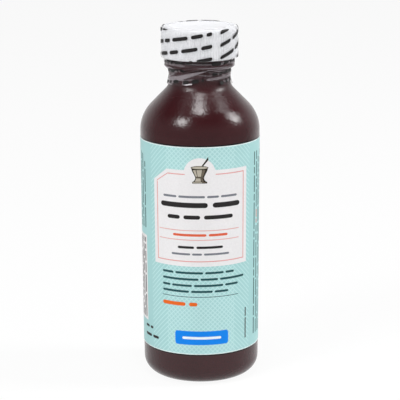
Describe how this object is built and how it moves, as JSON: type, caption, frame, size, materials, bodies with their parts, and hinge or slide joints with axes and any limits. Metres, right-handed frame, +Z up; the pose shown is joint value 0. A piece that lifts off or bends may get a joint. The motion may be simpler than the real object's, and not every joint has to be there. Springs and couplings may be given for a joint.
{
  "type": "antiseptic solution bottle",
  "caption": "Round brown plastic bottle for a liquid, with a ribbed screw cap, foam liner, tear-off shrink band and wrap-around label.",
  "frame": {"origin": "centre of the face that the bottle stands on", "axes": "+Z up along the bottle's axis; -Y towards the front of the label; +X to the right seen from the front"},
  "size_m": [0.0412, 0.0413, 0.1224],
  "materials": {
    "bottle": "semi-gloss blow-moulded polyethylene, dark reddish brown",
    "cap": "satin moulded polypropylene, white",
    "liner": "matt closed-cell foam, white",
    "film": "clear shrunk film with dark printed rows",
    "label": "printed film label, aqua with a white panel",
    "solution": "clear watery liquid"
  },
  "bodies": {
    "bottle_body": {"bottle": "bottle", "label": "label", "solution": "solution", "shrink_band_neck": "film"},
    "liner_body": {"cap_liner": "liner"},
    "cap_body": {"cap": "cap", "shrink_band_cap": "film"}
  },
  "joints": [
    {"name": "cap_rise", "type": "slide", "parent": "bottle_body", "child": "liner_body", "axis": [0, 0, 1], "range_m": [0, 0.0095]},
    {"name": "cap_turn", "type": "hinge", "parent": "liner_body", "child": "cap_body", "pos_m": [0, 0, 0.1202], "axis": [0, 0, 1], "range_deg": [0, 1080]}
  ],
  "couplings": [
    {"joint": "cap_turn", "follows": "cap_rise", "rad_per_m": 1979}
  ]
}
